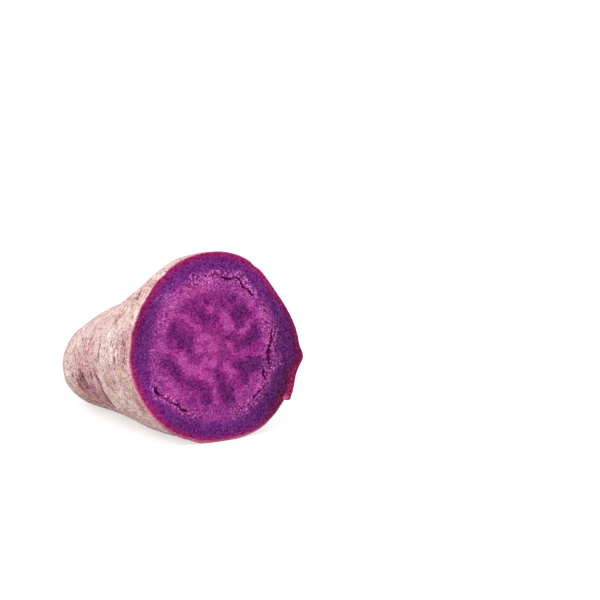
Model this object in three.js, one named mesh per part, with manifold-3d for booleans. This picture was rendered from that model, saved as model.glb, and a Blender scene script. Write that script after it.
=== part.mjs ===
// Half of a purple sweet potato, cut straight across its thickest part and lying on its side.
// Millimetres, +Z up. The cut faces -Y, the root tip points to +Y, and the skin rests on z = 0.
// The origin is under the middle of the half, at the level that it rests on.
import * as THREE from "three";
import { mergeVertices } from "three/addons/utils/BufferGeometryUtils.js";
import Module from "manifold-3d";

// The cut's outline: its radius every 30 degrees, from +X round through +Z.
const RIM_RADII = [33.4, 30.0, 32.2, 35.1, 35.9, 35.1, 35.1, 34.4, 34.9, 35.4, 36.6, 36.4];

// The tuber from the cut to the root tip. The last station closes the corky stub where the root went on.
const STATIONS = [
  { behindCut: 0, width: 1.0, height: 1.0, sideways: 0, underside: -0.3 },
  { behindCut: 9, width: 1.0, height: 0.978, sideways: -0.4, underside: -0.3 },
  { behindCut: 19, width: 0.975, height: 0.886, sideways: -1.5, underside: -0.3 },
  { behindCut: 30, width: 0.915, height: 0.786, sideways: -3.2, underside: -0.3 },
  { behindCut: 41, width: 0.84, height: 0.7, sideways: -5.3, underside: -0.3 },
  { behindCut: 52, width: 0.74, height: 0.63, sideways: -8.1, underside: -0.3 },
  { behindCut: 62, width: 0.61, height: 0.55, sideways: -11.3, underside: -0.3 },
  { behindCut: 71, width: 0.455, height: 0.463, sideways: -13.7, underside: 0.2 },
  { behindCut: 78.5, width: 0.32, height: 0.384, sideways: -15.6, underside: 2.0 },
  { behindCut: 83.5, width: 0.19, height: 0.215, sideways: -16.6, underside: 6.2 },
  { behindCut: 86, width: 0.09, height: 0.09, sideways: -17.0, underside: 9.8 },
  { behindCut: 88.5, width: 0.06, height: 0.06, sideways: -17.4, underside: 10.2 },
  { behindCut: 89, width: 0, height: 0, sideways: -17.4, underside: 12.0 },
];

// How far behind the cut its uneven outline takes to round off, and how much of it does.
const ROUNDING_LENGTH = 60;
const ROUNDING_SHARE = 0.75;

// Broad lumps of the skin: depth in mm, lobes round the tuber, radians of twist per mm of length, and
// starting angle in radians.
const LUMPS = [
  { depth: 0.5, lobes: 2, twist: 0.05, start: 0.6 },
  { depth: 0.35, lobes: 3, twist: -0.07, start: 2.1 },
  { depth: 0.25, lobes: 5, twist: 0.09, start: 4.0 },
];
// How far behind the cut the lumps reach their full depth.
const LUMPS_FADE_IN = 18;

// The mesh's divisions round the tuber, and from the cut to the tip.
const AROUND = 64;
const ALONG = 36;

// A block below the level that the half rests on, wider and longer than the half.
const BLOCK = { width: 200, length: 300, depth: 20 };

// Nearer than this to a pole of the closed curve, or to the tip, counts as on it.
const TINY = 1e-6;

// The closed curve through the rim radii, as a trigonometric interpolation.
function rimRadius(angle) {
  const count = RIM_RADII.length;
  return RIM_RADII.reduce((sum, radius, k) => {
    const away = angle - (k * 2 * Math.PI) / count;
    const half = Math.tan(away / 2);
    const weight = Math.abs(half) < TINY ? 1 : Math.sin((count * away) / 2) / (count * half);
    return sum + radius * weight;
  }, 0);
}

const rimAngles = Array.from({ length: AROUND }, (_, k) => (k * 2 * Math.PI) / AROUND);
const MEAN_RADIUS = RIM_RADII.reduce((sum, radius) => sum + radius, 0) / RIM_RADII.length;

// A curve's x, y and z at share u of the way from the cut to the tip.
const smoothly = (points) => new THREE.CatmullRomCurve3(points, false, "catmullrom");
const spine = smoothly(STATIONS.map((s) => new THREE.Vector3(s.sideways, s.behindCut, s.underside)));
const size = smoothly(STATIONS.map((s) => new THREE.Vector3(s.width, s.height, 0)));

// The cross-section's outline at a distance behind the cut, before it is scaled: x and z about its centre.
function sectionPoint(angle, behindCut) {
  const round = ROUNDING_SHARE * Math.min(behindCut / ROUNDING_LENGTH, 1);
  const fade = THREE.MathUtils.smoothstep(behindCut, 0, LUMPS_FADE_IN);
  let radius = rimRadius(angle) * (1 - round) + MEAN_RADIUS * round;
  for (const lump of LUMPS) {
    radius += fade * lump.depth * Math.sin(lump.lobes * angle + lump.twist * behindCut + lump.start);
  }
  return new THREE.Vector2(radius * Math.cos(angle), radius * Math.sin(angle));
}

// A point of the tuber: u runs from the cut to the tip, and share from a section's centre to its skin.
function tuberPoint(u, angle, share) {
  const middle = spine.getPoint(u);
  const scale = size.getPoint(u);
  const outline = sectionPoint(angle, middle.y);
  const lowest = Math.min(...rimAngles.map((a) => sectionPoint(a, middle.y).y));
  return new THREE.Vector3(
    middle.x + Math.max(scale.x, 0) * share * outline.x,
    middle.y,
    middle.z + Math.max(scale.y, 0) * (share * outline.y - lowest),
  );
}

// A cone's base becomes the cut, its side the skin and its point the root tip.
function tuberGeometry() {
  const blank = new THREE.ConeGeometry(1, 1, AROUND, ALONG);
  blank.deleteAttribute("normal");
  blank.deleteAttribute("uv");
  const geometry = mergeVertices(blank);
  const place = geometry.getAttribute("position");
  for (let i = 0; i < place.count; i += 1) {
    const u = place.getY(i) + 0.5;
    const radius = Math.hypot(place.getX(i), place.getZ(i));
    const angle = Math.atan2(place.getZ(i), place.getX(i));
    const share = u > 1 - TINY ? 0 : radius / (1 - u);
    place.setXYZ(i, ...tuberPoint(u, angle, share));
  }
  return geometry;
}

const wasm = await Module();
wasm.setup();

function toSolid(geometry) {
  return new wasm.Manifold(
    new wasm.Mesh({
      numProp: 3,
      vertProperties: new Float32Array(geometry.getAttribute("position").array),
      triVerts: new Uint32Array(geometry.index.array),
    }),
  );
}

function toGeometry(solid) {
  const mesh = solid.getMesh();
  const geometry = new THREE.BufferGeometry();
  geometry.setAttribute("position", new THREE.BufferAttribute(mesh.vertProperties, 3));
  geometry.setIndex(new THREE.BufferAttribute(mesh.triVerts, 1));
  geometry.computeVertexNormals();
  return geometry;
}

// The underside is pressed flat where the tuber rests.
function restingOnFloor(geometry) {
  const below = new THREE.BoxGeometry(BLOCK.width, BLOCK.length, BLOCK.depth);
  below.translate(0, 0, -BLOCK.depth / 2);
  below.deleteAttribute("normal");
  below.deleteAttribute("uv");
  return toGeometry(toSolid(geometry).subtract(toSolid(mergeVertices(below))));
}

const skin = new THREE.MeshStandardMaterial({ color: 0xc9a196, roughness: 0.8, metalness: 0 });
const half = new THREE.Mesh(restingOnFloor(tuberGeometry()), skin);
half.name = "sweet_potato_half";

const box = new THREE.Box3().setFromObject(half);
const middle = box.getCenter(new THREE.Vector3());
half.position.set(-middle.x, -middle.y, -box.min.z);

const part = new THREE.Group();
part.name = "purple_sweet_potato";
part.add(half);

export default part;
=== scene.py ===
import itertools
import math

import bpy
import numpy as np
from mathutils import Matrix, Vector


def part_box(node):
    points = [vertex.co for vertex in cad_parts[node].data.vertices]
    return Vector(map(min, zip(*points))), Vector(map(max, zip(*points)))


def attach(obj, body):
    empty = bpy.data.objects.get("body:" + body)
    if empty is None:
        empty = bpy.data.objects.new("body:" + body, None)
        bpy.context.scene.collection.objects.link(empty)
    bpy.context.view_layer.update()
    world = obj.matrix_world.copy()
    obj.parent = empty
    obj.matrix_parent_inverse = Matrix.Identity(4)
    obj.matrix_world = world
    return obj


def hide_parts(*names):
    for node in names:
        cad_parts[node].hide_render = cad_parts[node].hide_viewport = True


# The looks of half a purple sweet potato: its cut face, with rings, veins and torn cracks, and its skin.
# Shapes are worked out in millimetres in the tuber's own frame: the cut lies in y = 0, the root tip
# points to +y, the underside is at z = 0, and angles run from +x round through +z. The tables below are in
# millimetres and degrees.

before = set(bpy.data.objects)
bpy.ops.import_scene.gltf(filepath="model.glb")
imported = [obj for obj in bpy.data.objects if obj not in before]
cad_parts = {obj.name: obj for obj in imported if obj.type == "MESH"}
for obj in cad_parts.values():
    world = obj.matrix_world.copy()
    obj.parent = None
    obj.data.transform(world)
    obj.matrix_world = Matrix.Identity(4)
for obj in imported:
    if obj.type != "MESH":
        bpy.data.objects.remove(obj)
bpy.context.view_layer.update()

NODE = "sweet_potato_half"
MM = 0.001
rng = np.random.default_rng(20)


# ---- The tuber's smooth shape, by the same formula as the CAD part ----

# The cut's outline, and the ring of cracks inside it: the radius every 30 degrees.
RIM_RADII = [33.4, 30, 32.2, 35.1, 35.9, 35.1, 35.1, 34.4, 34.9, 35.4, 36.6, 36.4]
RING_RADII = [22.8, 23.3, 23.9, 27.6, 27.9, 27.6, 26.2, 27.8, 25.4, 26.4, 25.8, 24.8]

# Distance behind the cut, width, height, sideways offset and level of the underside, at each station.
STATIONS = np.array([
    (0, 1, 1, 0, -0.3),
    (9, 1, 0.978, -0.4, -0.3),
    (19, 0.975, 0.886, -1.5, -0.3),
    (30, 0.915, 0.786, -3.2, -0.3),
    (41, 0.84, 0.7, -5.3, -0.3),
    (52, 0.74, 0.63, -8.1, -0.3),
    (62, 0.61, 0.55, -11.3, -0.3),
    (71, 0.455, 0.463, -13.7, 0.2),
    (78.5, 0.32, 0.384, -15.6, 2),
    (83.5, 0.19, 0.215, -16.6, 6.2),
    (86, 0.09, 0.09, -17, 9.8),
    (88.5, 0.06, 0.06, -17.4, 10.2),
    (89, 0, 0, -17.4, 12),
])
# How far behind the cut its uneven outline takes to round off, and how much of it does.
ROUNDING_LENGTH = 60
ROUNDING_SHARE = 0.75
# Broad lumps: depth, lobes round the tuber, radians of twist per mm of length and start in radians.
LUMPS = [(0.5, 2, 0.05, 0.6), (0.35, 3, -0.07, 2.1), (0.25, 5, 0.09, 4)]
LUMPS_FADE_IN = 18  # how far behind the cut they reach their full depth
MEAN_RADIUS = float(np.mean(RIM_RADII))
# The CAD part's points round the tuber, and its rows from the cut to the tip.
CAD_AROUND = 64
CAD_ROWS = 37
# Where the cut's edge bulges or is nicked: angle, spread and height.
RIM_BUMPS = [
    (-11.5, 4.5, 1.4), (-25, 6.5, -1.2), (-38.5, 2.4, -0.4), (-43, 6, -0.7), (-53, 5, -0.3),
    (126, 2, -0.35), (133, 1.9, 0.2), (149, 2.5, 0.25), (164, 2, 0.3), (172, 3, -0.3), (250, 2, -0.3),
    (258, 1.8, 0.2), (62, 3, -0.3), (22, 20, 0.5), (72, 24, 0.5), (118, 18, 0.4), (300, 10, 0.35),
]
RIM_BUMPS_LENGTH = 9  # how far behind the cut they have faded out
TINY = 1e-9  # nearer than this to a pole of the closed curve counts as on it


def around(count):
    """Angles evenly spaced round the tuber."""
    return np.arange(count) * 2 * math.pi / count


def closed_curve(radii, angle):
    """The radius at each angle of the smooth closed curve through evenly spaced radii."""
    total = np.zeros(np.shape(angle))
    for k, radius in enumerate(radii):
        away = angle - k * 2 * math.pi / len(radii)
        half = np.tan(away / 2)
        on_it = np.abs(half) < TINY
        safe = np.where(on_it, 1, half)
        total += radius * np.where(on_it, 1, np.sin(len(radii) * away / 2) / (len(radii) * safe))
    return total


def smoothstep(low, high, value):
    """0 at low, 1 at high and smooth between them. low may be the higher of the two."""
    share = np.clip((value - low) / (high - low), 0, 1)
    return share * share * (3 - 2 * share)


def station(u):
    """The tuber's five station values at share u of the way to the tip, along a Catmull-Rom curve."""
    last = len(STATIONS) - 1
    i = min(int(u * last), last - 1)
    t = u * last - i
    before = 2 * STATIONS[0] - STATIONS[1]
    after = 2 * STATIONS[-1] - STATIONS[-2]
    a, b, c, d = np.vstack([before, STATIONS, after])[i : i + 4]
    square = (2 * a - 5 * b + 4 * c - d) * t**2
    cube = (3 * b - a - 3 * c + d) * t**3
    return 0.5 * (2 * b + (c - a) * t + square + cube)


def turned_from(angle, degrees):
    """How far each angle lies from a direction, in radians between -pi and pi."""
    return (angle - math.radians(degrees) + math.pi) % (2 * math.pi) - math.pi


def rim_bumps(angle):
    """How far the cut's edge stands out of its smooth curve."""
    total = np.zeros(np.shape(angle))
    for degrees, spread, height in RIM_BUMPS:
        total += height * np.exp(-((turned_from(angle, degrees) / math.radians(spread)) ** 2))
    return total


def section_radius(angle, y):
    """The cross-section's radius before it is scaled, at a distance behind the cut."""
    rounding = ROUNDING_SHARE * min(y / ROUNDING_LENGTH, 1)
    radius = closed_curve(RIM_RADII, angle) * (1 - rounding) + MEAN_RADIUS * rounding
    fade = smoothstep(0, LUMPS_FADE_IN, y)
    for depth, lobes, twist, start in LUMPS:
        radius = radius + fade * depth * np.sin(lobes * angle + twist * y + start)
    return radius


def smooth_row(u, angle):
    """Points of the smooth skin at these angles, all at share u of the way to the tip."""
    y, width, height, sideways, underside = station(u)
    radius = section_radius(angle, y)
    coarse = around(CAD_AROUND)
    lowest = np.min(section_radius(coarse, y) * np.sin(coarse))
    x = sideways + max(width, 0) * radius * np.cos(angle)
    z = underside + max(height, 0) * (radius * np.sin(angle) - lowest)
    return np.stack([x, np.full_like(x, y), z], axis=-1)


cad_angles = around(CAD_AROUND)
smooth = np.concatenate([smooth_row(u, cad_angles) for u in np.linspace(0, 1, CAD_ROWS)])
node_low, node_high = (np.array(corner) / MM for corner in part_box(NODE))
# From the tuber's own frame to the shared one.
SHIFT = np.array([
    (node_low[0] + node_high[0]) / 2 - (smooth[:, 0].min() + smooth[:, 0].max()) / 2,
    node_low[1],
    node_low[2],
])
# The level of the cut's middle, which the face's rings and cracks are placed from.
FACE_MIDDLE_Z = station(0)[4] - np.min(closed_curve(RIM_RADII, cad_angles) * np.sin(cad_angles))


# ---- Noise ----

# A cube of random numbers, repeated in every direction. A number that is added to the points in a call of
# noise picks another part of it.
LATTICE_SIZE = 32
LATTICE = rng.uniform(-1, 1, (LATTICE_SIZE, LATTICE_SIZE, LATTICE_SIZE))
OCTAVE_OFFSET = 17.3


def noise(points, size):
    """Smooth noise from -1 to 1 at each point, with lumps about this size. size may differ by axis."""
    scaled = points / np.asarray(size)
    cell = np.floor(scaled).astype(int)
    t = scaled - cell
    t = t * t * (3 - 2 * t)
    total = np.zeros(len(points))
    for corner in itertools.product((0, 1), repeat=3):
        weight = np.prod(np.where(corner, t, 1 - t), axis=-1)
        i, j, k = ((cell + corner) % LATTICE_SIZE).T
        total += weight * LATTICE[i, j, k]
    return total


def rough_noise(points, size, octaves=3):
    """Noise with finer noise on it, each octave half the size and half the strength of the one before."""
    size = np.asarray(size)
    return sum(noise(points + OCTAVE_OFFSET * k, size / 2**k) / 2**k for k in range(octaves))


# ---- What each point of the mesh carries for the materials ----

# Each value's name, and what a point has when it isn't given one.
POINT_VALUES = {
    "ring_place": 2,  # 0 at the face's middle, 1 on the ring of cracks and 2 at the rim
    "peel": 0,  # above 0 on the torn flap, and higher where it is paler
    "tone": 0,  # above 0 in the core's pale veins and below 0 in its dark patches
    # cracks and holes get painted shade by how deep they are
    "crack": 0,  # how deep in a crack
    "torn": 0,  # how torn the flesh is
    # painted light and shade of the outer ring, with some of its own tone
    "lightness": 1,  # of the outer ring
    "crimson_depth": 0,  # distance from the rim in widths of the crimson band
    # the skin's pale edge is its own colour with a painted highlight
    "edge_depth": 0,  # distance from the rim in widths of the pale edge
    # the skin's own tone, with painted light and shade in places and painted shade in the creases
    "shade": 0,  # how dark the skin is
    "brown": 0,  # how brown the skin is
    "scuff": 0,  # how scuffed the skin is
}


def point_values(count, **given):
    """The values of this many points: those given, and the usual ones for the rest."""
    return {name: np.zeros(count) + given.get(name, usual) for name, usual in POINT_VALUES.items()}


# ---- The cut face ----

# Points across the face are (x, z) from its middle.
# Torn cracks: points along each with the crack's width there, and how deep it goes.
CRACKS = [
    ([(1, 26.3, 0.4), (2.6, 25.6, 0.6), (3.9, 24.9, 1.3), (5.6, 24.8, 1), (7.8, 25.4, 0.5)], 2.2),
    ([(7.8, 25.4, 0.5), (8.8, 24.6, 0.6), (9.8, 22.8, 0.85), (11, 20.8, 0.9), (12, 20.4, 0.5)], 2.4),
    ([(12.4, 20.5, 0.5), (13.3, 19.2, 0.85), (14.1, 18.2, 0.8), (15.2, 17.3, 0.4)], 2.2),
    ([(-1.9, 27.1, 0.5), (-1, 27.3, 0.8), (0.2, 27, 0.6), (1, 26.3, 0.5)], 1.6),
    ([(-4.4, 26.7, 0.4), (-3.9, 25.9, 0.5)], 0.8),
    ([(-8.2, 26.6, 0.5), (-7.6, 26, 0.7)], 1),
    ([(-9.2, 24.3, 0.4), (-8.6, 23.8, 0.6)], 0.8),
    ([(-19, 20, 0.4), (-17.6, 20.9, 0.5), (-15.6, 22, 0.35)], 0.8),
    ([(20.6, 7.6, 0.35), (21.6, 6.2, 0.4), (22.6, 4.6, 0.6)], 0.9),
    ([(22.5, 4.2, 0.6), (22.1, 2, 0.8), (22.5, 0.6, 1.3), (21.9, -0.9, 0.9)], 1.6),
    ([(21.6, -1.6, 0.9), (21.2, -3.6, 2), (21, -5.6, 1.3), (21.6, -7.4, 1.5), (21.4, -9.3, 0.7)], 2.8),
    ([(18.9, -10.2, 0.7), (19.2, -11.4, 1.6), (19, -12.6, 1.2), (19.9, -14.2, 0.7)], 2.6),
    ([(19.9, -16.2, 0.3), (19, -17.3, 0.7), (18.4, -17.6, 0.3)], 1),
    ([(18, -18.2, 0.5), (17, -18.5, 1), (16.2, -19.4, 0.5)], 1.8),
    ([(15.9, -19.9, 0.5), (15.2, -20.2, 1.1), (14.2, -21.4, 0.5)], 1.8),
    ([(12.4, -23, 0.45), (11.2, -23.7, 0.4)], 0.8),
    ([(-25.1, -4.7, 0.4), (-25, -5.5, 0.5)], 0.7),
    ([(-24.9, -7.8, 0.6), (-24.6, -9.3, 0.6)], 1),
    ([(-25.3, -11.6, 0.8), (-24.9, -12.8, 1.7), (-23.9, -14, 1), (-22.3, -15.3, 0.55)], 2.6),
    ([(-22.3, -15.3, 0.6), (-20.3, -16.8, 0.65), (-19.2, -18, 0.6)], 1.8),
    ([(-19.2, -18, 0.55), (-18.2, -18, 0.55), (-17.4, -18.6, 0.6)], 1.5),
    ([(-17.4, -18.6, 0.5), (-16, -19.5, 0.9), (-14.6, -21, 0.6), (-13.2, -21.7, 1),
      (-11.7, -22.2, 0.4)], 2.2),
    ([(-10.5, -23.3, 0.5), (-9.6, -23.9, 0.4)], 0.9),
    # The last is the dark seam under the flap's inner edge: a shallow groove with painted shade in it.
    ([(33.6, -7.4, 0.2), (32.5, -10.4, 0.5), (31.2, -14, 0.7), (29.9, -17.2, 0.6),
      (28.7, -19.6, 0.4)], 0.5),
]
CRACK_RAGGED = 0.3  # how far a crack's edges wander
CRACK_REACH = 0.7  # how far beside a crack the flesh is torn
DEEP_CRACK = 1.4  # a shallower one tears the flesh beside it less
# Crumbled pale flesh beside the cracks: points along each stretch, its half width, and how crumbly it is.
CRUMBS = [
    ([(-9.5, 26.2), (-4, 26.4), (0, 27.2), (4, 25.8), (9, 25.2), (12, 21.4), (15, 17.8)], 1.9, 1),
    ([(-11, 23.6), (-8.4, 24.2)], 1.3, 1),
    ([(-22.5, 20.6), (-17.5, 20.6), (-12, 21.6)], 1.8, 0.55),
    ([(19.5, 12.8), (19.5, 8.5), (20.5, 4.5)], 2.4, 0.75),
    ([(22.9, 5.6), (22.3, 0), (21.9, -5), (22.2, -10.2)], 2, 1),
    ([(24.6, -5.5), (24.8, -9)], 1.6, 0.7),
    ([(19.8, -11.5), (19.8, -16.2), (16.2, -19.6), (11.4, -23.2)], 2, 1),
    ([(11, -24.4), (6.5, -26)], 1.8, 0.55),
    ([(13.5, -16), (11, -19), (15, -15)], 2.6, 0.4),
    ([(-25.8, -11), (-23.6, -14.6), (-19.6, -17.2), (-15, -20.6), (-10.2, -23.6)], 1.7, 1),
    ([(-25.6, 3), (-25.4, -3), (-25.2, -9)], 1.2, 0.65),
    ([(-17.5, 19.5), (-21.5, 13), (-22.5, 6)], 2.4, 0.42),
    ([(-7, 23.4), (-2, 23.2), (3, 22.6)], 2.2, 0.45),
]

# Veins of paler flesh: points along each, its width, and how pale it is.
VEINS = [
    ([(-22, 2.6), (-19, 1), (-15.5, -1)], 1.8, 0.6),
    ([(-19, 14.4), (-14, 12.9), (-10, 9.8), (-7.6, 6.6)], 1.5, 0.85),
    ([(-14.6, -1.5), (-13.2, -5), (-10, -7.2), (-6.5, -7.6), (-4.5, -9.8), (-2.4, -12.2)], 2.6, 1),
    ([(-2.4, -12.2), (-2.3, -15), (-1.2, -18), (-0.8, -22), (-1, -25.5)], 1.5, 0.75),
    ([(-8, -0.5), (-7.6, 2.5), (-5.5, 4.6), (-4, 3)], 1.6, 0.9),
    ([(-3.4, 0.4), (-1.2, 0.2)], 2.6, 1.1),
    ([(-5, -4.8), (-2.4, -6), (-0.6, -4.4)], 1.9, 1),
    ([(2.6, 7), (5.2, 7.4), (3.8, 9.6), (3.4, 11.4)], 2.2, 1.15),
    ([(-3.4, 13.6), (-1.8, 14.4)], 1.6, 0.8),
    ([(5.2, 1.2), (6.6, -0.4), (7.6, -2)], 1.3, 0.9),
    ([(7.6, -2), (12, -3.6), (19, -3.6)], 1.7, 0.58),
    ([(8.6, 5.4), (11.4, 5.4)], 1.2, 0.85),
    ([(11.4, 5.6), (13.8, 9), (16.6, 10.2), (18.6, 9.6)], 1.5, 0.7),
    ([(13.6, 13.5), (13.6, 16.5), (12.6, 19.5)], 1.6, 0.9),
    ([(9.6, 21), (6, 20.5)], 1, 0.5),
    ([(4.2, -7.4), (4.6, -11.6)], 2, 1.1),
    ([(4.6, -11.6), (7, -15), (8.5, -19), (10, -21)], 1.4, 0.55),
    ([(-21.8, 12.6), (-20.8, 8.5)], 1.8, 1),
    ([(-23.5, 4.6), (-23.2, 3.2)], 1, 0.6),
    ([(-23.4, -8.6), (-21, -9.4)], 1.3, 0.85),
    ([(-21, 17.5), (-18, 17.5), (-15, 20.5), (-10, 23), (-5, 24.5)], 2.6, 0.95),
    ([(-2, 25.4), (0.6, 26.4), (0.4, 28)], 1.6, 0.9),
    ([(-24.5, -15.2), (-20.5, -15), (-19.6, -12.4), (-17.5, -16.2)], 2.2, 1),
    ([(-14, -16.4), (-11.5, -15.8)], 1, 0.5),
    ([(-14.5, -23), (-9, -23)], 1.2, 0.6),
    ([(20.5, 3), (20.4, -1)], 1.3, 0.75),
    ([(12, -16.6), (15.4, -16.6), (18, -17)], 1.4, 0.65),
    ([(9.6, -22.4), (12.6, -21)], 1.3, 0.6),
]
# Patches of darker flesh: middle, half length, half width, direction and how dark it is.
DARK_PATCHES = [
    (-11.6, 16.3, 4.2, 2.1, -12, 0.72), (-6.2, 12.6, 4.4, 2.1, -42, 0.62),
    (-3.2, 17.6, 1.2, 1.4, 90, 0.65), (2.2, 15, 2, 1.6, 0, 0.7), (6, 17.2, 3.4, 2.2, -35, 0.72),
    (9.2, 11.8, 4.8, 3.2, 75, 1), (7, 15.2, 2.4, 2.2, 0, 0.45), (-0.6, 10.6, 1.5, 1.2, 0, 0.65),
    (-15.6, 7.2, 4.8, 4.2, -30, 0.66), (-12.8, 8, 2.6, 2.2, -30, 0.6), (-13.4, 3, 4.6, 3.4, -40, 0.82),
    (-11.4, 0.6, 2.2, 1.6, 0, 0.65), (-19.2, -4.2, 4.3, 3.1, -50, 1), (-15.5, -8.6, 3.6, 1.8, -30, 0.75),
    (-11, -11.9, 5, 1.9, -22, 0.62), (-6, -13.6, 3.2, 1.8, 0, 0.6), (-4.8, -17.4, 4.2, 2.2, -86, 0.7),
    (-15.6, -19, 2, 1.3, -40, 0.85), (-11.2, -19, 1.6, 1.6, 0, 0.65), (-13.8, -20.8, 2.2, 1, -20, 0.75),
    (3.4, -16.8, 5.6, 3, -80, 1.15), (1, -11.8, 2.8, 1.7, -62, 0.85), (5.2, -21.6, 2.4, 2, -80, 0.6),
    (13.8, -7.9, 6, 2.5, -3, 1.5), (11.2, -12.4, 3.4, 1.7, -80, 0.9), (8.4, -6, 1.6, 1.4, 0, 0.5),
    (12.6, 0.7, 4.7, 2.8, 16, 1.3), (15.6, 5.6, 2.2, 1.4, 80, 0.85), (4.6, 4, 5.4, 1.8, -16, 0.72),
    (0.4, 7.6, 1.6, 1.4, 0, 0.45), (-7.2, -2.6, 2.4, 1.6, 0, 0.35), (2.4, -2.6, 5, 2, 88, 0.45),
    (-0.6, -8.4, 1.8, 1.4, 0, 0.35), (-4.6, 0.8, 1, 1.5, 0, 0.65), (-3.6, -7.6, 2, 0.9, -20, 0.45),
    (7.5, -25, 2.4, 1.2, 20, 0.4), (3, -23, 4.5, 1.6, 0, 0.45), (-4.5, -23.5, 2, 1.6, 0, 0.35),
]
STREAK_RADIUS = 12  # how far from the middle the flesh's fine streaks have their stated width

# Painted light and shade on the outer ring, with some of its own tone, every 30 degrees, where 1 is its
# usual colour. It is darkest on the right, as painted shade where the other half would shade it.
RING_LIGHT_AND_TONE = [0.84, 1, 1.24, 1.22, 1.3, 1.08, 1.08, 1.38, 1.12, 1.22, 0.95, 0.77]
# How wide the crimson band inside the rim is, every 30 degrees.
CRIMSON_WIDTHS = [1.5, 1.4, 1.6, 1.7, 1.8, 2, 1.6, 2.1, 1.9, 1.6, 1.7, 2.6]
# How wide the thin skin's pale edge shows round the rim, every 30 degrees: its own colour with a painted
# highlight along it.
EDGE_AND_HIGHLIGHT_WIDTHS = [0.08, 0.15, 0.25, 0.3, 0.3, 0.4, 0.6, 0.65, 0.9, 1.05, 0.65, 0.3]
# How crumbly the flesh is just inside the ring of cracks, every 30 degrees, from 0 to 1.
CRUMBLING = [0.6, 0.4, 0.3, 0.5, 0.2, 0.1, 0.05, 0.3, 0.15, 0.15, 0.35, 0.6]

# The face's rows of points, as bands: from and to, points round each row, and rows in the band.
# 0 is the middle, 1 is the ring of cracks and RIM_PLACE is the rim.
RIM_PLACE = 2
FACE_BANDS = [
    (0, 0.1, 48, 5), (0.1, 0.25, 96, 9), (0.25, 0.55, 192, 18), (0.55, 0.84, 384, 20),
    (0.84, 1.24, 768, 34), (1.24, 1.93, 384, 15), (1.93, RIM_PLACE, 384, 3),
]
RIM_DROP = 0.12  # how far the knife's edge rounds the rim off
FACE_GRAIN = 0.05  # height of the face's finest grain


def along_line(flat, line):
    """Each point's distance to a line of straight stretches, and the line's third value nearest to it."""
    line = np.array(line, float)
    nearest = np.full(len(flat), np.inf)
    value = np.zeros(len(flat))
    for start, end in zip(line[:-1], line[1:]):
        step = end[:2] - start[:2]
        share = np.clip((flat - start[:2]) @ step / (step @ step), 0, 1)
        away = np.linalg.norm(flat - start[:2] - share[:, None] * step, axis=-1)
        closer = away < nearest
        value = np.where(closer, start[2] + share * (end[2] - start[2]), value)
        nearest = np.minimum(nearest, away)
    return nearest, value


def band(flat, lines, uneven, outer, inner):
    """How near each point is to a line: 0 from outer widths away, and its strength from inner ones."""
    total = np.zeros(len(flat))
    for line, width, strength in lines:
        away, _ = along_line(flat, [(x, z, 0) for x, z in line])
        share = smoothstep(outer, inner, away / width + 0.3 * uneven)
        total = np.maximum(total, strength * share)
    return total


def crack_relief(flat, ragged):
    """How deep the cracks go at each point of the face, and how torn it is beside one, from 0 to 1."""
    depth = np.zeros(len(flat))
    torn = np.zeros(len(flat))
    for line, deepest in CRACKS:
        away, width = along_line(flat, line)
        away = np.maximum(away + CRACK_RAGGED * ragged * np.minimum(width, 0.8), 0)
        inside = np.clip(1 - away / (width / 2), 0, 1)
        depth = np.maximum(depth, deepest * np.sqrt(inside) * np.minimum(width, 1))
        beside = np.maximum(away - width / 2, 0) / CRACK_REACH
        torn = np.maximum(torn, np.exp(-(beside**2)) * min(deepest / DEEP_CRACK, 1))
    return depth, torn


def fibres(flat, across, along, start=0):
    """Noise drawn out along lines from the face's middle, in streaks about this big at STREAK_RADIUS."""
    radius = np.linalg.norm(flat, axis=-1)
    turned = flat / np.maximum(radius, 0.01)[:, None] * (STREAK_RADIUS / across) + start
    return noise(np.stack([turned[:, 0], radius / along, turned[:, 1]], axis=-1), 1)


def marbling(flat, uneven):
    """The core's tone at each point: above 0 in a pale vein, and below 0 in a dark patch."""
    pale = band(flat, VEINS, uneven, 1.7, 0.1)
    dark = np.zeros(len(flat))
    for x, z, length, width, direction, strength in DARK_PATCHES:
        turn = math.radians(direction)
        axis = np.array([math.cos(turn), math.sin(turn)])
        across = np.array([-axis[1], axis[0]])
        offset = flat - (x, z)
        away = np.hypot((offset @ axis) / length, (offset @ across) / width) + 0.35 * uneven
        dark = np.maximum(dark, strength * smoothstep(1.55, 0.45, away))
    return pale * (1 - 0.5 * dark) - dark


def face_rows():
    """Rows of the cut face from its middle to its rim, each as points and their values."""
    rows = []
    for start, end, count, steps in FACE_BANDS:
        angle = around(count)
        ring = closed_curve(RING_RADII, angle)
        rim = closed_curve(RIM_RADII, angle) + rim_bumps(angle)
        for place in np.linspace(start, end, steps, endpoint=end == RIM_PLACE):
            kept = 1 if place == 0 else count
            rows.append(face_row(place, angle[:kept], ring[:kept], rim[:kept]))
    return rows


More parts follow.
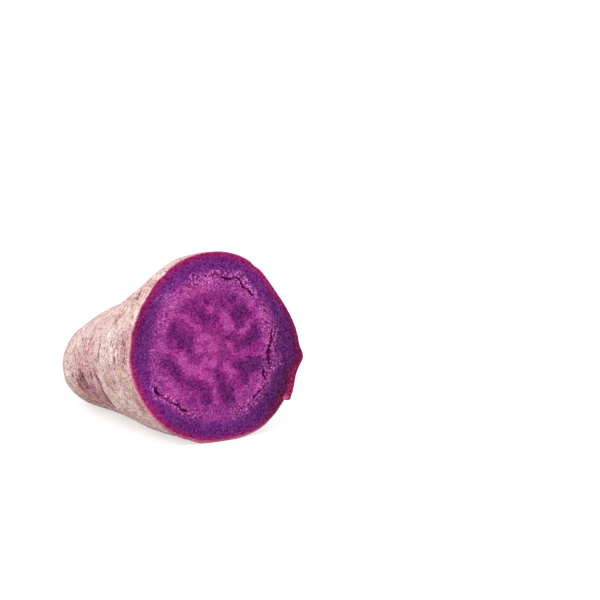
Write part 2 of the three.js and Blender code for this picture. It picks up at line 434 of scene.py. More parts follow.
def face_row(place, angle, ring, rim):
    """One row of the cut face, as points and their values."""
    radius = ring * min(place, 1) + (rim - ring) * max(place - 1, 0)
    rim_distance = rim - radius
    flat = np.stack([radius * np.cos(angle), radius * np.sin(angle)], axis=-1)
    solid = np.stack([flat[:, 0], np.zeros(len(flat)), flat[:, 1]], axis=-1)

    wander = np.stack([rough_noise(solid + 50, 3.5), rough_noise(solid + 90, 3.5)], axis=-1)
    uneven = rough_noise(solid + 70, 2.6)
    feathers = np.stack([noise(solid + 170, 1.3), noise(solid + 190, 1.3)], axis=-1)
    mottle = 0.24 * fibres(flat, 1.5, 2.8) + 0.16 * fibres(flat, 0.8, 2.4, 40)
    mottle += 0.18 * rough_noise(solid + 130, 2) + 0.16 * noise(solid + 210, 5)
    tone = marbling(flat + 0.9 * wander + 0.7 * feathers, uneven) + mottle

    ragged = noise(solid, 0.7)
    depth, torn = crack_relief(flat, ragged)
    inner_ring = smoothstep(0.72, 0.93, place) * smoothstep(1.1, 1, place)
    crumbly = inner_ring * np.clip(closed_curve(CRUMBLING, angle) + 0.6 * wander[:, 0], 0, 1)
    crumbly = np.maximum(crumbly, band(flat, CRUMBS, uneven, 1.35, 0.45))
    holes = crumbly * smoothstep(0.22, 0.55, -rough_noise(solid + 11, 0.95, 2))
    depth = np.maximum(depth, 0.5 * holes)
    torn = np.maximum(torn, crumbly)

    grain = FACE_GRAIN * rough_noise(solid, 1.4) + 0.1 * noise(solid, 7) + 0.12 * crumbly * ragged
    swell = 0.1 * np.clip(tone, -1, 1) + 0.12 * torn
    fade = smoothstep(0, 1.2, rim_distance)
    y = depth - fade * (grain + swell) + RIM_DROP * (1 - smoothstep(0, 0.5, rim_distance))
    points = np.stack([flat[:, 0], y, np.maximum(flat[:, 1] + FACE_MIDDLE_Z, 0)], axis=-1)
    return points, point_values(
        len(points),
        ring_place=place,
        tone=tone,
        torn=torn,
        crack=smoothstep(0.05, 0.7, depth),
        lightness=closed_curve(RING_LIGHT_AND_TONE, angle),
        crimson_depth=rim_distance / closed_curve(CRIMSON_WIDTHS, angle),
        edge_depth=rim_distance / closed_curve(EDGE_AND_HIGHLIGHT_WIDTHS, angle),
    )


# ---- The skin ----

# Places on the skin are the distance behind the cut and the angle.
# Grooves across the tuber: distance, how much it wanders, depth, width, angle and half length in degrees.
GROOVES = [
    (32, 2, 0.9, 1.2, 218, 28), (31.5, 1, 0.3, 0.9, 170, 30), (37, -1.4, 0.35, 0.8, 165, 40),
    (42.5, 1.6, 0.45, 1, 185, 45), (48, -1, 0.4, 0.8, 210, 35), (53.5, 1.5, 0.35, 1.1, 190, 60),
    (60, -1.2, 0.45, 0.9, 200, 70), (67, 1, 0.5, 1.1, 120, 90), (73.5, -0.8, 0.45, 0.9, 250, 100),
    (79, 0.6, 0.55, 1, 60, 110), (24, 1.8, 0.3, 1, 60, 50), (39, -1.5, 0.45, 1.1, 20, 55),
    (51, 1.6, 0.5, 1.2, 330, 60), (63, -1.2, 0.4, 0.9, 40, 60), (16, 1.2, 0.25, 0.8, 320, 45),
]
# Small dark pits: distance, angle and size.
PITS = [
    (11.8, 180.5, 1.8), (14.5, 169, 1.1), (24, 168, 1.2), (25.7, 161, 0.9), (4.4, 182, 1),
    (2.4, 183.5, 1), (19.5, 171, 1), (16.7, 173, 0.9), (35.4, 189, 1.2), (46.8, 192, 1.3),
    (8.1, 142, 2.2), (8.8, 139, 1.4), (41.6, 202, 1.3), (49.7, 151, 1.1), (6.7, 166, 0.8),
    (5.9, 170, 0.8), (64.4, 173, 1), (54.4, 191, 1.2), (58.1, 168, 0.9),
]
# More pits strewn over the whole skin.
RANDOM_PITS = 80
# Darker and paler places: distance, angle, half length along the tuber, half width round it, and how much
# darker, which is below 0 where it is paler. Most are the skin's own tone, but some are painted light and
# shade that even out the lamps: paler low on the left, darker on the upper left, and pale on the ridge
# beside the big crease.
TONES_AND_PAINTED_LIGHT = [
    (18, 172, 8, 10, -0.22), (56, 178, 9, 12, -0.2), (8, 120, 6, 9, -0.06), (10, 146, 5, 6, 0.1),
    (26, 150, 6, 6, 0.12), (24, 200, 2.6, 7, -0.16), (14, 210, 6, 6, -0.14), (6, 228, 5, 4, -0.16),
    (6, 171, 5, 8, 0.26), (4, 188, 4, 7, 0.1), (23, 193, 5, 7, 0.16), (35, 171, 4, 9, 0.14),
    (46, 168, 4, 5, 0.15), (44, 179, 4.5, 5.5, 0.2), (45, 196, 6, 7, 0.22), (44, 209, 6.5, 8, 0.3),
    (50, 222, 8, 9, 0.16), (36, 210, 4, 9, 0.22), (26.4, 204, 1.8, 9, -0.2), (20, 194, 5, 6, 0.06),
    (15.7, 152, 3.6, 2.6, 0.42), (4, 214, 3.6, 7, 0.4), (53, 200, 3.5, 4, 0.26), (30, 60, 9, 8, 0.26),
    (62, 330, 10, 9, 0.32), (70, 120, 8, 8, 0.24), (20, 300, 9, 7, 0.24), (48, 100, 12, 8, 0.2),
    (40, 10, 9, 7, 0.24), (14, 45, 8, 10, -0.14), (50, 45, 9, 8, -0.16), (34, 315, 8, 8, -0.12),
]
# Dark lines and creases round the tuber: distance, angle, half width along the tuber, half length round it,
# slope along the tuber per mm round it, and how dark. The dark is partly the lines' own colour and partly
# painted shade in the creases.
CREASE_LINES = [
    (30.2, 205, 1.6, 6.5, 0.02, 0.7), (31.6, 219, 1.5, 6, 0.22, 0.55), (33.4, 236, 1.2, 7, 0.12, 0.34),
    (34.6, 256, 0.9, 6, 0.06, 0.2), (29.6, 187, 0.9, 5, 0, 0.16), (46.6, 192.5, 0.8, 1.4, 0.1, 0.35),
    (42, 202.5, 0.7, 2, 0.05, 0.35), (47, 216, 0.9, 3, 0.1, 0.35), (43.4, 197, 0.7, 5, -0.05, 0.18),
    (39.5, 209, 0.6, 6.5, 0.05, 0.25), (50.5, 205, 0.7, 6, 0.1, 0.25), (34.7, 189, 0.7, 1.8, 0.1, 0.35),
    (31, 184, 0.8, 3.5, 0, 0.15), (23.8, 170, 0.7, 3.2, 0.1, 0.4), (30.8, 165, 0.7, 3, 0.05, 0.3),
    (26.5, 40, 1.1, 9, 0.05, 0.42), (57, 60, 0.9, 7, -0.05, 0.46), (49, 330, 1.1, 9, 0.08, 0.44),
    (61, 250, 0.9, 7, 0, 0.4), (37, 5, 0.8, 8, -0.06, 0.4), (69.5, 160, 0.9, 5, 0, 0.3),
    (18, 15, 0.8, 8, 0.05, 0.38), (64, 35, 0.8, 7, 0.04, 0.44), (72, 60, 0.7, 6, 0, 0.44),
]
# Scuffed places where the skin's top layer is gone: distance, angle, half length and half width.
SCUFFS = [
    (23, 36, 4.2, 3.4), (27, 29, 2.6, 2.2), (19, 43, 1.6, 1.4), (55, 85, 2.6, 1.5), (45, 345, 3.6, 2),
    (12, 318, 2, 1.3),
]
# Scars of side roots: distance, angle and size.
ROOT_SCARS = [(38, 96, 1.6), (58, 300, 1.5), (27, 330, 1.3), (64, 160, 1.2), (17, 80, 1.1)]

# The skin's rows of points: distances of the first ones behind the rim, where the even ones start, how far
# these are apart, and the least gap to the tip.
RIM_ROWS = [0.12, 0.35, 0.7]
EVEN_ROWS_START = 1.3
SKIN_SPACING = 0.64
TIP_GAP = 0.3
# The points round a row, by the least radius that has so many.
SKIN_COUNTS = [(17, 384), (8, 192), (3, 96), (0, 48)]
# How finely the skin's profile is measured, and the steps in angle and share that its slope is taken over.
PROFILE_STEPS = 4000
SMALL_TURN = 1e-3
SMALL_STEP = 1e-4
SKIN_FADE_IN = 5  # how far behind the cut the skin's relief reaches its full height
NICKS_FADE = 0.8  # how far behind the cut the rim's fine nicks have faded out
STUB_START = 84.5  # where the corky stub of the root starts


# A row of the skin is given as its distance behind the cut, its points' angles and its radius.


def spots(row, y0, degrees, length, width):
    """The squared distance from a place on the skin to a row's points, in half lengths and half widths."""
    y, angle, girth = row
    across = turned_from(angle, degrees) * girth
    return ((y - y0) / length) ** 2 + (across / width) ** 2


scattered_pits = [
    (rng.uniform(3, 82), rng.uniform(0, 360), rng.uniform(0.5, 1.3)) for _ in range(RANDOM_PITS)
]


def groove_relief(row, wander):
    """The height of the grooves, each with a low ridge in front of it, and how brown they are."""
    y, angle, _ = row
    height = np.zeros(len(angle))
    brown = np.zeros(len(angle))
    for middle, sway, depth, width, degrees, spread in GROOVES:
        away = turned_from(angle, degrees)
        behind = y - (middle + sway * np.sin(2 * away) + 0.5 * wander)
        window = np.exp(-((away / math.radians(spread)) ** 2))
        groove = window * np.exp(-((behind / width) ** 2))
        ridge = window * np.exp(-(((behind + 2.2 * width) / (1.5 * width)) ** 2))
        height += depth * (0.35 * ridge - groove)
        brown = np.maximum(brown, 0.28 * min(depth / 0.7, 1) * groove)
    return height, brown


def pit_relief(row):
    """The height of the pits and of the scars of side roots, and how brown they are."""
    height = np.zeros(len(row[1]))
    brown = np.zeros(len(row[1]))
    for y0, degrees, size in PITS + scattered_pits:
        pit = np.exp(-spots(row, y0, degrees, 0.52 * size, 0.8 * size))
        height -= 0.3 * size * pit
        brown = np.maximum(brown, pit)
    for y0, degrees, size in ROOT_SCARS:
        near = spots(row, y0, degrees, size, 1.5 * size)
        height += 0.5 * size * (0.45 * np.exp(-near / 3.5) - np.exp(-near))
        brown = np.maximum(brown, np.exp(-near * 1.4))
    return height, brown


def crease_lines_and_shade(row, uneven):
    """How dark the dark lines are, with painted shade in the creases."""
    y, angle, girth = row
    dark = np.zeros(len(angle))
    for y0, degrees, width, length, slope, darker in CREASE_LINES:
        across = turned_from(angle, degrees) * girth
        away = (y - y0 - slope * across + 0.35 * uneven) / width
        window = smoothstep(1.6, 0.6, np.abs(across) / length + 0.3 * uneven)
        dark += darker * np.exp(-(away**2)) * window
    return dark


def skin_shade(base, row, uneven):
    """How dark the skin is between its creases: its own tone, with painted light and shade in some places.
    """
    shade = 0.42 + 0.13 * noise(base + 70, (9, 6, 9)) + 0.13 * noise(base + 9, (6, 2.2, 6))
    shade += 0.09 * rough_noise(base + 57, (2.6, 1.3, 2.6), 2)
    for y0, degrees, length, width, darker in TONES_AND_PAINTED_LIGHT:
        near = spots(row, y0, degrees, length, width)
        shade += darker * np.exp(-near * (1 + 0.5 * uneven))
    return shade


def scuffing(base, row):
    """How scuffed the skin is."""
    ragged = 1.6 * rough_noise(base + 5, (2.6, 1.8, 2.6))
    scuff = np.zeros(len(base))
    for y0, degrees, length, width in SCUFFS:
        near = spots(row, y0, degrees, length, width)
        scuff = np.maximum(scuff, smoothstep(-1.2, 1.4, 1 - near + ragged) * smoothstep(4.5, 2.5, near))
    return scuff


def skin_relief(base, row):
    """The skin's height above the smooth points, how dark it is, and its brown and scuffed shares."""
    y, angle, _ = row
    uneven = rough_noise(base + 83, (3, 1.8, 3))
    grooves, groove_brown = groove_relief(row, noise(base, 9))
    pits, pit_brown = pit_relief(row)
    # Painted shade in the creases darkens the skin, and the creases are also sunk into it.
    creases_and_shade = crease_lines_and_shade(row, uneven)
    shade = skin_shade(base, row, uneven) + creases_and_shade
    scuff = scuffing(base, row)
    stub = smoothstep(STUB_START - 3, STUB_START + 1, y)
    brown = np.maximum(np.maximum(groove_brown, pit_brown), 0.65 * stub)

    height = 0.35 * noise(base + 31, 13) + 0.14 * rough_noise(base, 4)
    height += 0.07 * rough_noise(base, (3.2, 0.9, 3.2))
    height += grooves + pits - 0.32 * creases_and_shade - 0.15 * smoothstep(0.4, 0.7, scuff)
    height += stub * 0.25 * noise(base, 0.9)
    # The relief fades out towards the rim, and right at the rim only fine nicks are left.
    fade = smoothstep(0, SKIN_FADE_IN, y)
    fine_fade = smoothstep(0, NICKS_FADE, y)
    nicks = 0.16 * rough_noise(base, 1.6)
    height = fade * height + (1 - fade) * fine_fade * 0.3 * height + (1 - fine_fade) * nicks
    height += (1 - smoothstep(0, RIM_BUMPS_LENGTH, y)) * rim_bumps(angle)
    return height, shade, brown, scuff


def skin_places():
    """Shares of the way to the tip at which the skin has a row, with the points round each row."""
    fine = np.linspace(0, 1, PROFILE_STEPS)
    profile = np.array([(s[0], MEAN_RADIUS * max((s[1] + s[2]) / 2, 0)) for s in map(station, fine)])
    run = np.concatenate([[0], np.cumsum(np.linalg.norm(np.diff(profile, axis=0), axis=-1))])
    wanted = np.concatenate([RIM_ROWS, np.arange(EVEN_ROWS_START, run[-1] - TIP_GAP, SKIN_SPACING)])
    for distance in wanted:
        u = np.interp(distance, run, fine)
        radius = np.interp(distance, run, profile[:, 1])
        yield u, next(count for least, count in SKIN_COUNTS if radius >= least)
    yield 1.0, 1


def skin_row(u, count):
    """One row of the skin, as points and their values."""
    angle = around(count)
    base = smooth_row(u, angle)
    y, width, height_scale = station(u)[:3]
    girth = MEAN_RADIUS * max((width + height_scale) / 2, 0.02)
    turned = smooth_row(u, angle + SMALL_TURN) - smooth_row(u, angle - SMALL_TURN)
    onward = smooth_row(min(u + SMALL_STEP, 1), angle) - smooth_row(max(u - SMALL_STEP, 0), angle)
    normal = np.cross(onward, turned)
    length = np.linalg.norm(normal, axis=-1, keepdims=True)
    normal = np.where(length > 0, normal / np.where(length > 0, length, 1), (0, 1, 0))
    height, shade, brown, scuff = skin_relief(base, (y, angle, girth))
    points = base + normal * height[:, None]
    points[:, 1] = np.maximum(points[:, 1], min(y, RIM_DROP))
    points[:, 2] = np.maximum(points[:, 2], 0)
    edge_depth = y / closed_curve(EDGE_AND_HIGHLIGHT_WIDTHS, angle)
    return points, point_values(count, edge_depth=edge_depth, shade=shade, brown=brown, scuff=scuff)


# ---- The torn flap of peel ----

# The flap along the lower right of the rim: angle, how far it stands out of the rim, and how far it reaches
# in over the face.
FLAP_LINE = np.array([
    (-9, 0, 0.7), (-14, 0.25, 0.9), (-20, 0.45, 1.2), (-26, 0.9, 1.4), (-31, 0.9, 1.6), (-35, 1.1, 2),
    (-38.4, 2.2, 1.3),
])
FLAP_THICKNESS = 0.6
FLAP_STEPS = 48
FLAP_AROUND = 32
FLAP_END_SLANT = 2.2  # degrees that the free end's inner corner lies past its outer one


def flap_rows():
    """The flap as rows of points round its middle line, closed by a point at each end."""
    rows = []
    places = np.linspace(0, 1, FLAP_STEPS)
    known = np.linspace(0, 1, len(FLAP_LINE))
    degrees, outward, inward = (np.interp(places, known, FLAP_LINE[:, k]) for k in range(3))
    for i, place in enumerate(places):
        ends = min(place, 1 - place) * FLAP_STEPS / 2
        size = math.sqrt(1 - (1 - min(ends, 1)) ** 2)
        turn = around(FLAP_AROUND) if 0 < i < FLAP_STEPS - 1 else np.zeros(1)
        # A flat section with round edges: across runs from -1 at the inner edge to 1 at the outer one.
        across = np.sign(np.cos(turn)) * np.abs(np.cos(turn)) ** 0.6 * size
        thick = np.sin(turn) * FLAP_THICKNESS / 2 * size
        slant = FLAP_END_SLANT * place**4 * (1 - across) / 2
        angle = np.radians(degrees[i] - slant)
        rim = closed_curve(RIM_RADII, angle) + rim_bumps(np.full(len(angle), math.radians(degrees[i])))
        radius = rim + (outward[i] - inward[i]) / 2 + across * (outward[i] + inward[i]) / 2
        # The inner edge sinks into the flesh, the middle stands out of the cut, the outer edge curls back.
        lift = 0.25 - 0.4 * (1 + across) * (0.4 + 0.6 * place) + 0.5 * np.maximum(across, 0) ** 2
        z = radius * np.sin(angle) + FACE_MIDDLE_Z
        points = np.stack([radius * np.cos(angle), lift + thick, z], axis=-1)
        points += 0.1 * size * rough_noise(points + 3, 1.3)[:, None]
        from_edge = 0.12 + (1 - across) / 2 * (outward[i] + inward[i])
        rows.append((points, point_values(
            len(points),
            peel=0.35 + 0.55 * place**4 + 0.25 * rough_noise(points + 5, (0.6, 0.6, 2.5)),
            lightness=1.05,
            crimson_depth=0.4,
            edge_depth=from_edge / (0.2 + 0.3 * place),
        )))
    return rows


# ---- The mesh ----


def stitch(first, second):
    """Faces between two rows, given by their points' numbers. Either may have twice as many as the other,
    or a single one."""
    if len(first) == len(second):
        return np.stack([first, second, np.roll(second, -1), np.roll(first, -1)], -1).tolist()
    few, many = sorted((first, second), key=len)
    if len(few) == 1:
        triangles = [(np.repeat(few, len(many)), many, np.roll(many, -1))]
    else:
        a, b = few, np.roll(few, -1)
        c, d, e = many[::2], many[1::2], np.roll(many[::2], -1)
        triangles = [(a, c, d), (a, d, b), (b, d, e)]
    faces = np.concatenate([np.stack(corners, -1) for corners in triangles])
    return (faces if few is first else faces[:, [0, 2, 1]]).tolist()


FLESH = 0
SKIN = 1


def build_half():
    """The half as one closed mesh and the flap as another, with flesh and skin in two materials."""
    cut = face_rows()
    half = cut + [skin_row(u, count) for u, count in skin_places()]
    rows = half + flap_rows()
    ends = np.cumsum([len(points) for points, _ in rows])
    numbers = np.split(np.arange(ends[-1]), ends[:-1])
    faces = []
    slots = []
    for i, (row, next_row) in enumerate(zip(numbers[:-1], numbers[1:])):
        if i != len(half) - 1:
            made = stitch(row, next_row)
            faces += made
            slots += [SKIN if len(cut) - 1 <= i < len(half) else FLESH] * len(made)
    points = np.concatenate([points for points, _ in rows])
    mesh = bpy.data.meshes.new("sweet_potato_body")
    mesh.from_pydata(((points + SHIFT) * MM).tolist(), [], faces)
    mesh.polygons.foreach_set("material_index", slots)
    mesh.shade_smooth()
    for name in POINT_VALUES:
        values = np.concatenate([values[name] for _, values in rows])
        mesh.attributes.new(name, "FLOAT", "POINT").data.foreach_set("value", values.astype(np.float32))
    mesh.validate()
    return mesh


# ---- Materials ----


def linear(shade):
    """A screen colour, 0 to 255 a channel, as the linear colour that renders as it. A socket stays."""
    if isinstance(shade, bpy.types.NodeSocket):
        return shade
    channels = [channel / 255 for channel in shade]
    return [*(c / 12.92 if c <= 0.04045 else ((c + 0.055) / 1.055) ** 2.4 for c in channels), 1]


class Nodes:
    """A new material's or world's nodes, added one at a time, and the shade that they make so far. A value
    is a socket or a plain one. A size is in millimetres, as one number or one for each axis."""

    def __init__(self, owner):
        owner.use_nodes = True
        self.owner = owner
        self.tree = owner.node_tree
        self.shade = None

    def put(self, node, inputs):
        for key, value in inputs.items():
            if isinstance(value, bpy.types.NodeSocket):
                self.tree.links.new(value, node.inputs[key])
            else:
                node.inputs[key].default_value = value

    def node(self, kind, inputs, **settings):
        made = self.tree.nodes.new(kind)
        for key, value in settings.items():
            setattr(made, key, value)
        self.put(made, inputs)
        return made

    def attribute(self, name):
        return self.node("ShaderNodeAttribute", {}, attribute_name=name).outputs["Fac"]

    def place(self, size):
        """The object's own coordinates in steps of this size."""
        spot = self.node("ShaderNodeTexCoord", {}).outputs["Object"]
        factors = [1 / (MM * each) for each in np.broadcast_to(size, 3)]
        return self.node("ShaderNodeMapping", {"Vector": spot, "Scale": factors}).outputs["Vector"]

    def noise(self, size, detail=2, roughness=0.5):
        """Noise from 0 to 1 with lumps about this size."""
        inputs = {"Vector": self.place(size), "Scale": 1, "Detail": detail, "Roughness": roughness}
        return self.node("ShaderNodeTexNoise", inputs).outputs["Fac"]

    def cells(self, size, **settings):
        """The outputs of a pattern of cells about this size."""
        inputs = {"Vector": self.place(size), "Scale": 1}
        return self.node("ShaderNodeTexVoronoi", inputs, **settings).outputs

    def chance(self, cells):
        """A random number from 0 to 1 in each cell."""
        return self.node("ShaderNodeSeparateColor", {"Color": cells["Color"]}).outputs["Red"]

    def granules(self, size):
        """A random number from 0 to 1 in each grain of this size."""
        return self.chance(self.cells(size))

    def walls(self, size, thickness):
        """1 on the walls between grains of this size and 0 inside them. thickness is a share of it."""
        distance = self.cells(size, feature="DISTANCE_TO_EDGE")["Distance"]
        return self.between(distance, thickness, 0.3 * thickness)

    def spots(self, spacing, radius, share):
        """1 in scattered spots and 0 between them. radius is a share of the spacing, and share is how many
        places have one."""
        cells = self.cells(spacing)
        chance = self.chance(cells)
        reach = self.between(chance, 1 - share, 1, 0.3 * radius, radius)
        within = self.between(self.math("SUBTRACT", reach, cells["Distance"]), 0, 0.1)
        return self.times(within, self.math("GREATER_THAN", chance, 1 - share))

    def math(self, operation, first, second=0.0, third=0.0, clamp=False):
        inputs = {0: first, 1: second, 2: third}
        return self.node("ShaderNodeMath", inputs, operation=operation, use_clamp=clamp).outputs[0]

    def times(self, first, second):
        return self.math("MULTIPLY", first, second)

    def times_add(self, first, second, third):
        return self.math("MULTIPLY_ADD", first, second, third)

    def shaken(self, value, pattern, amount):
        """value moved by amount times how far the pattern is from 0.5."""
        return self.times_add(self.math("SUBTRACT", pattern, 0.5), amount, value)

    def between(self, value, low, high, to_low=0.0, to_high=1.0):
        """value carried smoothly from low..high to to_low..to_high."""
        inputs = {"Value": value, "From Min": low, "From Max": high, "To Min": to_low, "To Max": to_high}
        made = self.node("ShaderNodeMapRange", inputs, interpolation_type="SMOOTHSTEP")
        return made.outputs["Result"]

    def ramp(self, value, stops):
        made = self.node("ShaderNodeValToRGB", {"Fac": value})
        elements = made.color_ramp.elements
        while len(elements) < len(stops):
            elements.new(0.5)
        for element, (position, shade) in zip(elements, stops):
            element.position = position
            element.color = linear(shade)
        return made.outputs["Color"]

    def mix(self, share, first, second, kind="MIX"):
        inputs = {"Factor": share, 6: linear(first), 7: linear(second)}
        settings = {"data_type": "RGBA", "blend_type": kind, "clamp_factor": True}
        return self.node("ShaderNodeMix", inputs, **settings).outputs[2]

    def paint(self, colour, share):
        """Lays this share of a colour over the shade so far."""
        self.shade = self.mix(share, self.shade, colour)

    def grade(self, kind, amount):
        """Adds an amount of light to the shade so far, or multiplies it, the same in each channel."""
        grey = self.node("ShaderNodeCombineColor", {"Red": amount, "Green": amount, "Blue": amount})
        self.shade = self.mix(1.0, self.shade, grey.outputs["Color"], kind)

    def bump(self, height, distance_mm, strength, normal=None):
        inputs = {"Height": height, "Distance": distance_mm * MM, "Strength": strength}
        if normal is not None:
            inputs["Normal"] = normal
        return self.node("ShaderNodeBump", inputs).outputs["Normal"]

    def seen_directly(self):
        """1 for camera, glossy and transmission rays, and 0 for the others."""
        rays = self.node("ShaderNodeLightPath", {}).outputs
        seen = self.math("ADD", rays["Is Camera Ray"], rays["Is Glossy Ray"], clamp=True)
        return self.math("ADD", seen, rays["Is Transmission Ray"], clamp=True)


# Screen colours. The flesh's run from the middle, at 0, to the rim, at 1.
RINGS = [
    (0, (158, 50, 136)), (0.2, (155, 44, 134)), (0.34, (152, 42, 133)), (0.44, (162, 54, 148)),
    (0.5, (152, 54, 142)), (0.56, (132, 46, 132)), (0.64, (112, 39, 121)), (0.78, (106, 34, 116)),
    (0.9, (118, 30, 114)),
]
DARK_FLESH = (104, 23, 104)
PALE_FLESH = [(200, 74, 165), (195, 88, 174)]
HEART = (196, 70, 140)
SHADED_RING = (88, 14, 96)
CRUMB = (230, 126, 208)
# Painted shade in the tiny holes of the torn flesh.
HOLE_SHADE = (98, 10, 84)
SPARK = (222, 150, 210)
# Painted shade deep in the cracks and holes.
CRACK_SHADE = (134, 0, 106)
# Each crimson where the outer ring is lit, and where it is darkest with painted shade.
OUTER_CRIMSON = [(126, 30, 110), (96, 6, 62)]
INNER_CRIMSON = [(146, 28, 98), (112, 8, 62)]
PEEL = [(150, 22, 82), (202, 92, 132)]
# The skin's pale edge round the cut: its own colour with a painted highlight.
PALE_EDGE_AND_HIGHLIGHT = (226, 130, 154)

# The skin's, from its palest to its darkest.
SKIN_SHADES = [
    (0.1, (250, 226, 219)), (0.35, (242, 212, 206)), (0.55, (226, 184, 181)),
    (0.75, (202, 148, 152)), (0.92, (168, 110, 119)), (1, (142, 84, 96)),
]
WARM_SKIN = (222, 184, 156)
MAUVE_SKIN = (202, 150, 168)
SPECK = (150, 106, 106)
DASH = (128, 86, 84)
DOT = (126, 86, 80)
FLECK = (255, 238, 228)
SCUFF_RIM = (172, 128, 112)
SCUFFED = [(112, 76, 82), (158, 118, 114)]
BROWN = (114, 74, 72)
PIT = (72, 48, 44)
# The skin's pink edge along the cut: its own colour with a painted highlight.
PINK_EDGE_AND_HIGHLIGHT = (242, 160, 172)


def flesh_material():
    """Moist cut flesh: crimson rim, blue-violet outer ring, a pale torn ring and a marbled magenta core."""
    s = Nodes(bpy.data.materials.new("purple_flesh"))
    place, tone, torn, lightness = map(s.attribute, ("ring_place", "tone", "torn", "lightness"))
    lumps = s.noise(2.4, detail=4, roughness=0.6)
    grain = s.noise(0.75, roughness=0.6)
    granules = s.granules(0.36)
    specks = s.noise(0.8, detail=3, roughness=0.7)
    lace = s.walls(1.1, 0.1)
    sparks = s.spots(1.7, 0.2, 0.12)

    # The rings, and the core's veins and patches.
    moved = s.shaken(place, lumps, 0.22)
    s.shade = s.ramp(s.times(moved, 1 / RIM_PLACE), RINGS)
    in_core = s.between(moved, 0.88, 1.08, 1, 0.1)
    pale_share = s.times(s.between(tone, 0.05, 1), in_core)
    dark_share = s.times(s.between(s.times(tone, -1), 0.05, 1), in_core)
    s.paint(DARK_FLESH, s.times(dark_share, 0.92))
    pale_shade = s.mix(s.between(s.noise(5, detail=1), 0.42, 0.6), *PALE_FLESH)
    s.paint(pale_shade, s.times(pale_share, 0.92))
    s.paint(HEART, s.between(place, 0.08, 0.4, 0.14, 0))

    # Painted shade on the outer ring, which also deepens its colour, and the torn flesh.
    deep = s.between(lightness, 0.98, 0.66)
    s.paint(SHADED_RING, s.times(deep, s.between(place, 1.1, 1.35, 0, 0.4)))
    crumbs = s.times(s.math("MAXIMUM", s.between(specks, 0.56, 0.62), lace), torn)
    s.paint(CRUMB, s.times(crumbs, 0.8))
    # Painted shade in the holes between the crumbs.
    hole_shade = s.times(s.between(specks, 0.475, 0.42), torn)
    s.paint(HOLE_SHADE, s.times(hole_shade, 0.8))
    s.paint(SPARK, s.times(sparks, s.between(place, 1.6, 1.3, 0, 0.45)))

    # The crimson band, the flap and the skin's pale edge with its painted highlight.
    rim_wander = s.shaken(s.attribute("crimson_depth"), lumps, 0.9)
    # Painted shade darkens both crimsons along with the outer ring.
    s.paint(s.mix(deep, *OUTER_CRIMSON), s.between(rim_wander, 2.3, 1))
    s.paint(s.mix(s.times(deep, 0.7), *INNER_CRIMSON), s.between(rim_wander, 1.35, 0.7))
    peel = s.attribute("peel")
    peel_shade = s.mix(s.between(peel, 0.45, 1), *PEEL)
    s.paint(peel_shade, s.between(peel, 0, 0.15))
    edge_wander = s.shaken(s.attribute("edge_depth"), grain, 1.2)
    s.paint(PALE_EDGE_AND_HIGHLIGHT, s.between(edge_wander, 1.4, 0.4, 0, 0.62))

    # Painted light and shade round the outer ring, and the grain, with some painted glints.
    outside = s.between(place, 0.9, 1.15)
    s.grade("MULTIPLY", s.times_add(s.math("SUBTRACT", lightness, 1), outside, 1))
    s.grade("MULTIPLY", s.between(grain, 0.28, 0.72, 0.9, 1.1))
    s.grade("MULTIPLY", s.times_add(granules, 0.62, 0.69))
    # The grey added up and down is partly painted glints of the moist flesh and partly its grain.
    s.grade("ADD", s.between(grain, 0.3, 0.7, -0.006, 0.006))
    s.grade("ADD", s.times_add(granules, 0.068, -0.034))
    sparkle = s.times(s.math("SUBTRACT", granules, 0.5), torn)
    s.grade("MULTIPLY", s.times_add(sparkle, 0.9, 1))
    # Painted shade in the cracks and holes, darker the deeper they go.
    s.paint(CRACK_SHADE, s.times(s.attribute("crack"), 0.92))

    s.put(s.tree.nodes["Principled BSDF"], {
        "Base Color": s.shade,
        "Roughness": s.between(grain, 0.3, 0.7, 0.42, 0.62),
        "Specular IOR Level": 0.08,
        "Normal": s.bump(grain, 0.12, 0.6, s.bump(specks, 0.3, 0.5)),
    })
    return s.owner


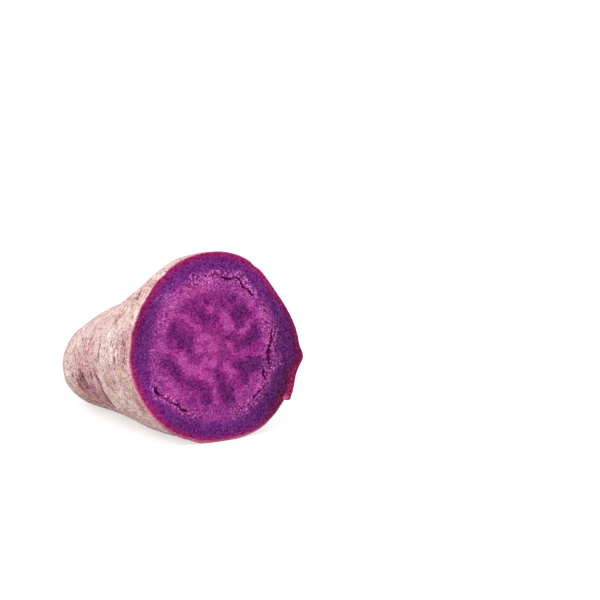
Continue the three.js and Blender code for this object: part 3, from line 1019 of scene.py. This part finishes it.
def skin_material():
    """Thin corky skin: pale pinkish tan with fine marks across, mauve shades, dark pits and scuffs."""
    s = Nodes(bpy.data.materials.new("tan_pink_skin"))
    warm = s.noise((11, 7, 11), detail=3, roughness=0.55)
    mauve = s.noise((7, 4, 7), detail=3, roughness=0.6)
    streaks = s.noise((3.4, 0.75, 3.4), detail=3, roughness=0.65)
    blotches = s.noise((3.2, 3, 3.2), roughness=0.6)
    grain = s.noise((0.9, 0.7, 0.9), roughness=0.65)
    grittiness = s.between(s.noise((5, 3.5, 5)), 0.34, 0.62, 0.65, 1.15)
    grit = s.times(s.math("SUBTRACT", s.granules((0.46, 0.38, 0.46)), 0.5), grittiness)
    specks = s.spots((1, 0.8, 1), 0.34, 0.3)
    dashes = s.spots((3.2, 1.1, 3.2), 0.34, 0.28)
    dots = s.spots(1.5, 0.28, 0.14)
    flecks = s.spots((1.9, 1.1, 1.9), 0.3, 0.16)

    # The skin's own shades and marks.
    tone = s.shaken(s.attribute("shade"), streaks, -0.85)
    s.shade = s.ramp(tone, SKIN_SHADES)
    s.paint(WARM_SKIN, s.between(warm, 0.5, 0.64, 0, 0.42))
    s.paint(MAUVE_SKIN, s.between(mauve, 0.52, 0.68, 0, 0.42))
    s.paint(SPECK, s.times(specks, 0.45))
    s.paint(DASH, s.times(dashes, 0.72))
    s.paint(DOT, s.times(dots, 0.6))
    s.paint(FLECK, s.times(flecks, 0.55))

    # Scuffs and brown places.
    scuff_edge = s.shaken(s.attribute("scuff"), streaks, 1.6)
    s.paint(SCUFF_RIM, s.between(scuff_edge, 0.2, 0.55, 0, 0.4))
    scuff_shade = s.mix(s.between(grain, 0.4, 0.62), *SCUFFED)
    s.paint(scuff_shade, s.between(scuff_edge, 0.52, 0.68, 0, 0.85))
    brown = s.attribute("brown")
    s.paint(BROWN, s.times(brown, 0.8))

    # The grain, then the dark middles of the pits and the edge along the cut, with its painted highlight.
    s.grade("MULTIPLY", s.between(blotches, 0.38, 0.62, 0.865, 1.145))
    s.grade("MULTIPLY", s.between(grain, 0.28, 0.72, 0.88, 1.12))
    s.grade("MULTIPLY", s.times_add(grit, 0.47, 0.995))
    s.grade("ADD", s.between(grain, 0.3, 0.7, -0.038, 0.034))
    s.grade("ADD", s.times(grit, 0.36))
    s.paint(PIT, s.between(brown, 0.5, 0.85, 0, 0.72))
    s.paint(PINK_EDGE_AND_HIGHLIGHT, s.between(s.attribute("edge_depth"), 1.6, 0.4, 0, 0.55))

    sunken = s.times(s.math("ADD", dashes, dots, clamp=True), -1)
    marked = s.bump(sunken, 0.15, 0.6, s.bump(streaks, 0.45, 0.5))
    s.put(s.tree.nodes["Principled BSDF"], {
        "Base Color": s.shade,
        "Roughness": s.between(grain, 0.3, 0.7, 0.66, 0.86),
        "Specular IOR Level": 0.2,
        "Normal": s.bump(grain, 0.2, 0.6, marked),
    })
    return s.owner


# ---- The half, in place ----


def new_object(name, data):
    made = bpy.data.objects.new(name, data)
    bpy.context.scene.collection.objects.link(made)
    return made


body = new_object("sweet_potato_body", build_half())
body.data.materials.append(flesh_material())
body.data.materials.append(skin_material())
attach(body, "root")
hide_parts(NODE)


# ---- Floor, light and camera ----

WHITE = (1, 1, 1, 1)
FLOOR_HALF = 6  # half the floor's width in metres
FLOOR_GREY = 0.62
FLOOR_LIFT = 0.62  # light that the floor adds for the camera alone, so that it shows white
WORLD_LEVEL = 0.62  # the light from all round, which the camera sees as 1
# Wide soft lamps: where the light comes from, its spread and its level, where 1 shows a colour as written.
LAMPS = {"key": ((-0.62, -0.48, 0.72), 45, 0.5), "fill": ((0.6, 0.4, 0.6), 60, 0.12)}


def make_floor():
    """A wide pale floor that shows white and keeps the half's shadow."""
    mesh = bpy.data.meshes.new("floor")
    h = FLOOR_HALF
    mesh.from_pydata([(-h, -h, 0), (h, -h, 0), (h, h, 0), (-h, h, 0)], [], [(0, 1, 2, 3)])
    s = Nodes(bpy.data.materials.new("pale_floor"))
    s.put(s.tree.nodes["Principled BSDF"], {
        "Base Color": (FLOOR_GREY, FLOOR_GREY, FLOOR_GREY, 1),
        "Roughness": 1,
        "Specular IOR Level": 0,
        "Emission Color": WHITE,
        "Emission Strength": s.times(s.seen_directly(), FLOOR_LIFT),
    })
    mesh.materials.append(s.owner)
    floor = new_object("floor", mesh)


def make_world():
    """Even soft light from everywhere, seen as white."""
    s = Nodes(bpy.data.worlds.new("studio"))
    level = s.between(s.seen_directly(), 0, 1, WORLD_LEVEL, 1)
    s.put(s.tree.nodes["Background"], {"Color": WHITE, "Strength": level})
    bpy.context.scene.world = s.owner


def make_lamps():
    for name, (towards, spread, level) in LAMPS.items():
        lamp = bpy.data.lights.new(name, "SUN")
        lamp.angle = math.radians(spread)
        lamp.energy = level * math.pi
        new_object(name, lamp).rotation_euler = Vector(towards).to_track_quat("Z", "Y").to_euler()


# The camera looks down on the half from its front left, and past it to the right and above. Its distance,
# range and aim are in metres.
CAMERA_AZIMUTH = math.radians(-30)
CAMERA_ELEVATION = math.radians(12)
CAMERA_DISTANCE = 0.75
CAMERA_LENS = 125
CAMERA_RANGE = (0.01, 20)
AIM_FROM_CUT = Vector((0.0273, -0.0121, 0.0521))


def make_camera():
    camera = bpy.data.cameras.new("camera")
    camera.lens = CAMERA_LENS
    camera.clip_start, camera.clip_end = CAMERA_RANGE
    made = new_object("camera", camera)
    back = Vector((
        math.sin(CAMERA_AZIMUTH) * math.cos(CAMERA_ELEVATION),
        -math.cos(CAMERA_AZIMUTH) * math.cos(CAMERA_ELEVATION),
        math.sin(CAMERA_ELEVATION),
    ))
    aim = AIM_FROM_CUT + Vector(SHIFT * MM)
    made.location = aim + back * CAMERA_DISTANCE
    made.rotation_euler = (-back).to_track_quat("-Z", "Y").to_euler()
    bpy.context.scene.camera = made


make_floor()
make_world()
make_lamps()
make_camera()
bpy.context.scene.view_settings.view_transform = "Standard"
